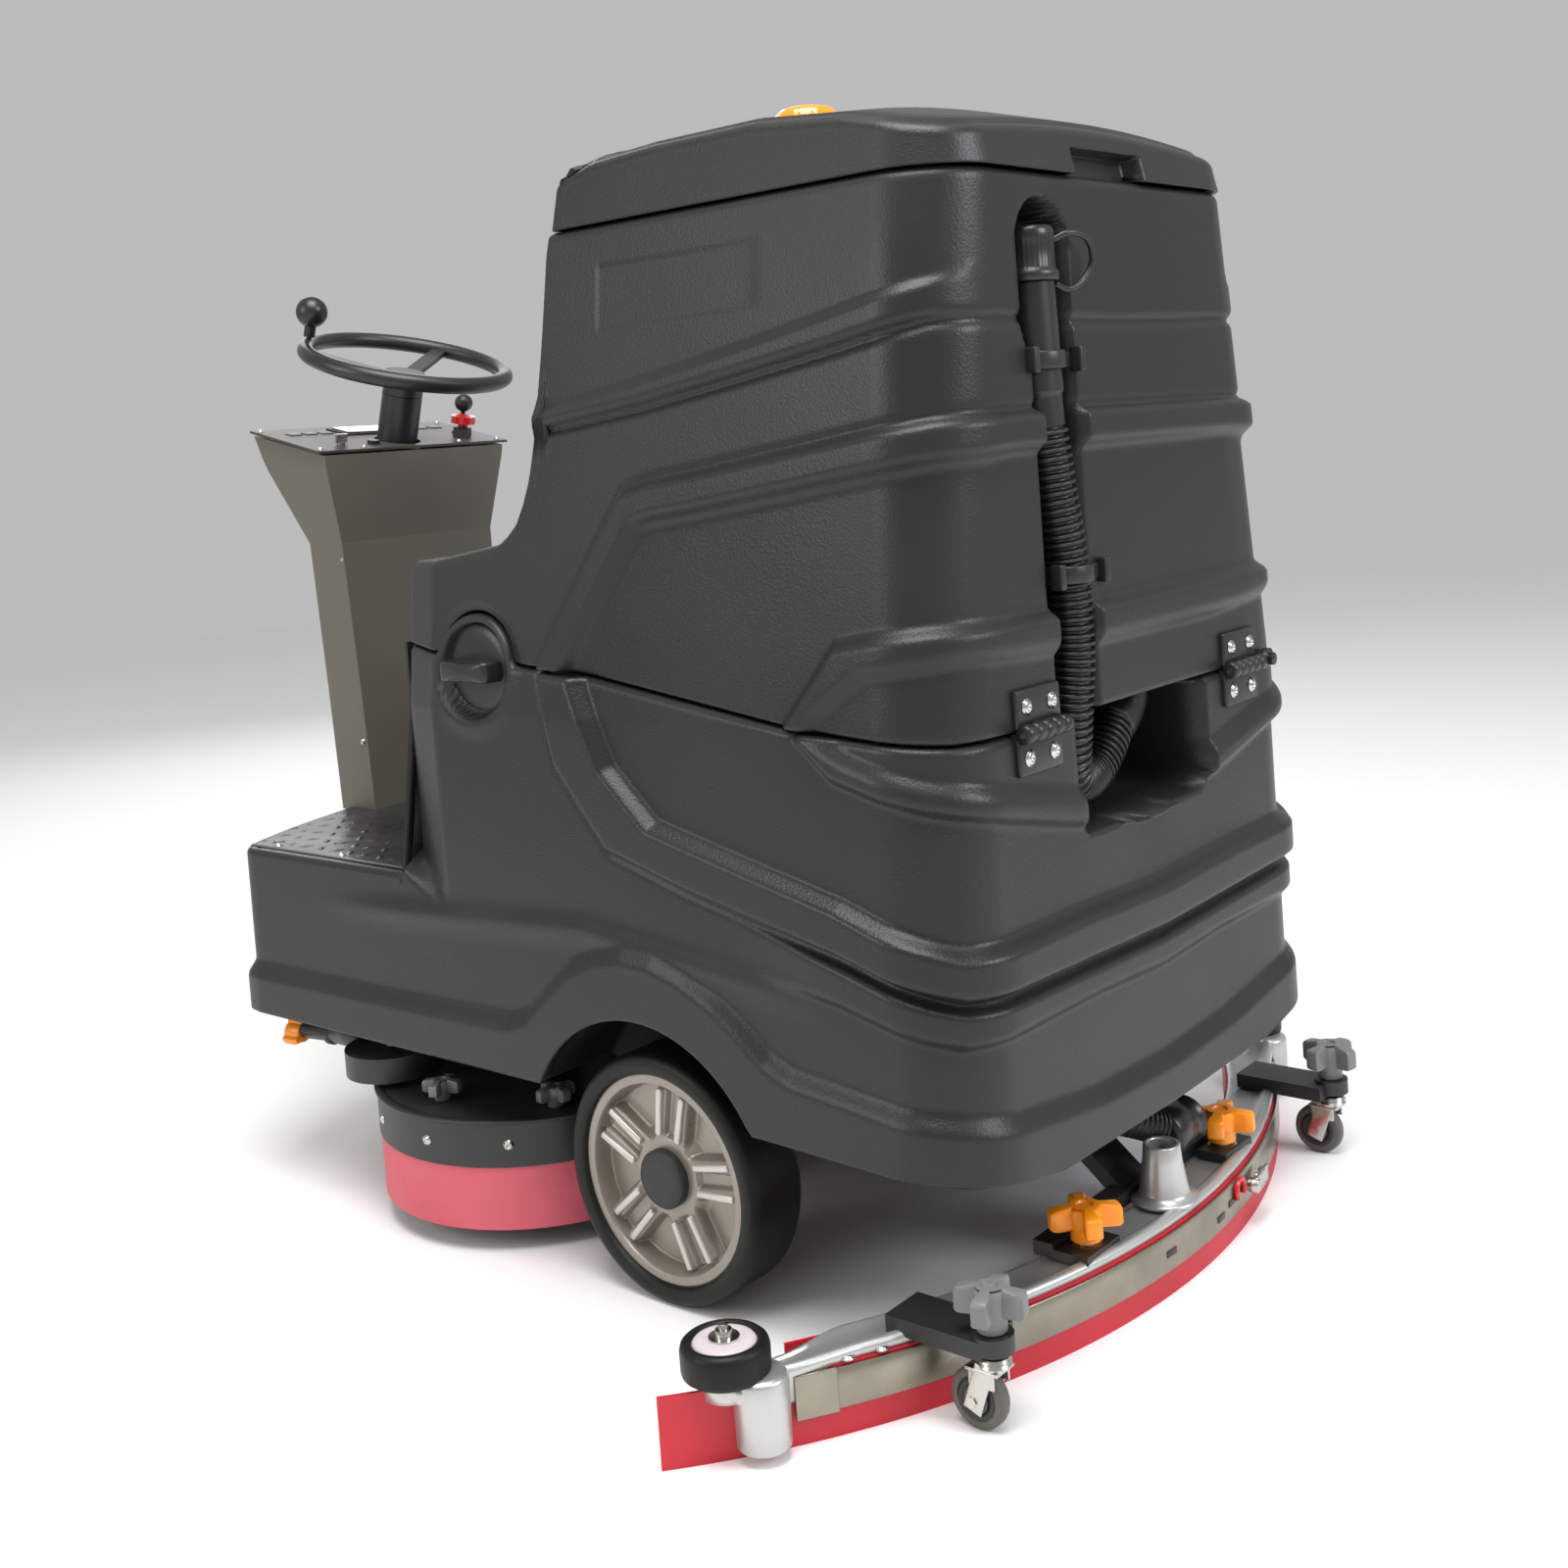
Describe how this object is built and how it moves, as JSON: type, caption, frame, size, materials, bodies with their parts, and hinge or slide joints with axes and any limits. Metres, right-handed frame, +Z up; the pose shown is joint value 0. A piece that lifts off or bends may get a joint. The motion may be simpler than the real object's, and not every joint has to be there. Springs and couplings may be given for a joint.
{
  "type": "ride on floor scrubber",
  "caption": "Ride-on floor scrubber with tilting tank body, steering console, disc brush deck, curved rear squeegee and drain hose.",
  "frame": {"origin": "on the floor, in the middle of the machine's overall length and width", "axes": "+Z up, the driver faces -Y, +X is the machine's left side"},
  "size_m": [1.296, 1.514, 1.437],
  "materials": {
    "grey_body": "satin",
    "tower_paint": "satin",
    "black_steel": "satin",
    "bright_steel": "brushed",
    "black_plastic": "satin",
    "battery_case": "satin",
    "stop_red": "gloss",
    "black_vinyl": "satin",
    "hose_rubber": "satin",
    "beacon_amber": "gloss",
    "hub_cast": "cast",
    "tyre_rubber": "matte",
    "skirt_pink": "matte",
    "blade_red": "matte",
    "brush_bristle": "matte",
    "knob_orange": "satin",
    "knob_grey": "satin",
    "cast_aluminium": "satin",
    "grey_rubber": "matte"
  },
  "bodies": {
    "chassis": {"chassis_frame": "black_steel", "lower_body": "grey_body", "tread_plate": "black_steel", "body_screws": "bright_steel", "rear_axle": "bright_steel", "battery_pack": "battery_case", "solution_fittings": "black_plastic", "console_tower": "tower_paint", "control_panel": "black_plastic", "steering_column": "black_plastic", "hinge_lower_leaves": "black_plastic", "hinge_pins": "bright_steel"},
    "steering_wheel": {"steering_wheel": "black_plastic"},
    "spinner_knob": {"spinner_knob": "black_plastic"},
    "drive_fork": {"drive_fork": "black_steel", "drive_motor": "black_steel"},
    "drive_wheel": {"drive_wheel": "tyre_rubber"},
    "accelerator": {"accelerator_pedal": "black_plastic"},
    "stop_button": {"stop_button": "stop_red"},
    "start_key": {"start_key": "bright_steel"},
    "horn_button": {"horn_button": "black_plastic"},
    "direction_lever": {"direction_lever": "black_plastic"},
    "left_wheel": {"left_wheel_hub": "hub_cast", "left_tyre": "tyre_rubber"},
    "right_wheel": {"right_wheel_hub": "hub_cast", "right_tyre": "tyre_rubber"},
    "upper_body": {"upper_body": "grey_body", "seat_cushion": "black_vinyl", "seat_back": "black_vinyl", "vacuum_motor": "black_plastic", "hinge_upper_leaves": "black_plastic", "hinge_upper_screws": "bright_steel", "drain_hose": "hose_rubber", "hose_clips": "black_plastic"},
    "drain_hose_cap": {"drain_hose_cap": "black_plastic"},
    "lid": {"tank_lid": "grey_body", "beacon_lens": "beacon_amber"},
    "filler_cap": {"filler_cap": "black_plastic"},
    "brush_deck": {"deck_housing": "black_steel", "splash_skirt": "skirt_pink", "deck_knobs": "knob_grey", "brush_motors": "black_steel", "guide_rollers": "black_plastic"},
    "left_brush": {"left_brush": "brush_bristle"},
    "right_brush": {"right_brush": "brush_bristle"},
    "lift_arm": {"lift_arm": "black_steel"},
    "squeegee": {"squeegee_brackets": "black_steel", "squeegee_casting": "cast_aluminium", "squeegee_band": "bright_steel", "squeegee_blades": "blade_red", "clamp_knobs": "knob_orange", "castor_knobs": "knob_grey", "suction_hose": "hose_rubber"},
    "left_castor_fork": {"left_castor_fork": "bright_steel"},
    "right_castor_fork": {"right_castor_fork": "bright_steel"},
    "left_castor_wheel": {"left_castor_wheel": "grey_rubber"},
    "right_castor_wheel": {"right_castor_wheel": "grey_rubber"},
    "left_bumper_roller": {"left_bumper_roller": "grey_rubber"},
    "right_bumper_roller": {"right_bumper_roller": "grey_rubber"},
    "latch": {"squeegee_latch": "bright_steel"}
  },
  "joints": [
    {"name": "steering_turn", "type": "hinge", "parent": "chassis", "child": "steering_wheel", "pos_m": [0, -0.59, 1.178], "axis": [0, 0.3123, 0.95], "range_deg": [-270, 270]},
    {"name": "spinner_knob_spin", "type": "hinge", "parent": "steering_wheel", "child": "spinner_knob", "pos_m": [0.10366, -0.70328, 1.21524], "axis": [0, 0.3123, 0.95], "continuous": true},
    {"name": "drive_steer", "type": "hinge", "parent": "chassis", "child": "drive_fork", "pos_m": [0, -0.558, 0.3], "axis": [0, 0, 1], "range_deg": [-75, 75]},
    {"name": "drive_wheel_spin", "type": "hinge", "parent": "drive_fork", "child": "drive_wheel", "pos_m": [0, -0.558, 0.115], "axis": [1, 0, 0], "continuous": true},
    {"name": "accelerator_press", "type": "hinge", "parent": "chassis", "child": "accelerator", "pos_m": [-0.24, -0.46419, 0.49074], "axis": [1, 0, 0], "range_deg": [0, 15], "stiffness_Nm_per_rad": 6, "springref_deg": -17.19},
    {"name": "stop_button_press", "type": "slide", "parent": "chassis", "child": "stop_button", "axis": [0, -0.23, -0.9732], "range_m": [0, 0.004], "stiffness_N_per_m": 2000, "springref_m": -0.001},
    {"name": "horn_button_press", "type": "slide", "parent": "chassis", "child": "horn_button", "axis": [0, -0.23, -0.9732], "range_m": [0, 0.003], "stiffness_N_per_m": 1200, "springref_m": -0.001},
    {"name": "start_key_turn", "type": "hinge", "parent": "chassis", "child": "start_key", "pos_m": [0.12, -0.61739, 1.04854], "axis": [0, 0.23, 0.9732], "range_deg": [-90, 0]},
    {"name": "direction_lever_tilt", "type": "hinge", "parent": "chassis", "child": "direction_lever", "pos_m": [-0.152, -0.65094, 1.05441], "axis": [1, 0, 0], "range_deg": [-20, 20]},
    {"name": "left_wheel_spin", "type": "hinge", "parent": "chassis", "child": "left_wheel", "pos_m": [0.347, 0.242, 0.15], "axis": [1, 0, 0], "continuous": true},
    {"name": "right_wheel_spin", "type": "hinge", "parent": "chassis", "child": "right_wheel", "pos_m": [-0.347, 0.242, 0.15], "axis": [1, 0, 0], "continuous": true},
    {"name": "tank_tilt", "type": "hinge", "parent": "chassis", "child": "upper_body", "pos_m": [0, 0.718, 0.684], "axis": [-1, 0, 0], "range_deg": [0, 55]},
    {"name": "drain_cap_turn", "type": "hinge", "parent": "upper_body", "child": "drain_hose_cap", "pos_m": [0.148, 0.668, 1.161], "axis": [0, 0, 1], "range_deg": [0, 90]},
    {"name": "lid_open", "type": "hinge", "parent": "upper_body", "child": "lid", "pos_m": [0, 0.115, 1.282], "axis": [1, 0, 0], "range_deg": [0, 75]},
    {"name": "filler_cap_turn", "type": "hinge", "parent": "chassis", "child": "filler_cap", "pos_m": [0.4, -0.013, 0.75], "axis": [1, 0, 0], "range_deg": [0, 90]},
    {"name": "deck_lift", "type": "slide", "parent": "chassis", "child": "brush_deck", "axis": [0, 0, 1], "range_m": [-0.025, 0.02]},
    {"name": "left_brush_spin", "type": "hinge", "parent": "brush_deck", "child": "left_brush", "pos_m": [0.21, -0.158, 0.08], "axis": [0, 0, 1], "continuous": true},
    {"name": "right_brush_spin", "type": "hinge", "parent": "brush_deck", "child": "right_brush", "pos_m": [-0.21, -0.158, 0.08], "axis": [0, 0, 1], "continuous": true},
    {"name": "squeegee_lift", "type": "hinge", "parent": "chassis", "child": "lift_arm", "pos_m": [0, 0.422, 0.212], "axis": [1, 0, 0], "range_deg": [0, 8]},
    {"name": "squeegee_swing", "type": "hinge", "parent": "lift_arm", "child": "squeegee", "pos_m": [0, 0.482, 0.2], "axis": [0, 0, 1], "range_deg": [-15, 15]},
    {"name": "left_castor_swivel", "type": "hinge", "parent": "squeegee", "child": "left_castor_fork", "pos_m": [0.408, 0.719, 0.08], "axis": [0, 0, 1], "continuous": true},
    {"name": "right_castor_swivel", "type": "hinge", "parent": "squeegee", "child": "right_castor_fork", "pos_m": [-0.408, 0.719, 0.08], "axis": [0, 0, 1], "continuous": true},
    {"name": "left_castor_spin", "type": "hinge", "parent": "left_castor_fork", "child": "left_castor_wheel", "pos_m": [0.408, 0.699, 0.032], "axis": [1, 0, 0], "continuous": true},
    {"name": "right_castor_spin", "type": "hinge", "parent": "right_castor_fork", "child": "right_castor_wheel", "pos_m": [-0.408, 0.699, 0.032], "axis": [1, 0, 0], "continuous": true},
    {"name": "left_bumper_spin", "type": "hinge", "parent": "squeegee", "child": "left_bumper_roller", "pos_m": [0.584, 0.516, 0.1], "axis": [0, 0, 1], "continuous": true},
    {"name": "right_bumper_spin", "type": "hinge", "parent": "squeegee", "child": "right_bumper_roller", "pos_m": [-0.584, 0.516, 0.1], "axis": [0, 0, 1], "continuous": true},
    {"name": "latch_open", "type": "hinge", "parent": "squeegee", "child": "latch", "pos_m": [-0.198, 0.72708, 0.051], "axis": [0, 0, 1], "range_deg": [0, 75]}
  ],
  "couplings": [
    {"joint": "steering_turn", "follows": "drive_steer", "ratio": 3.6}
  ]
}
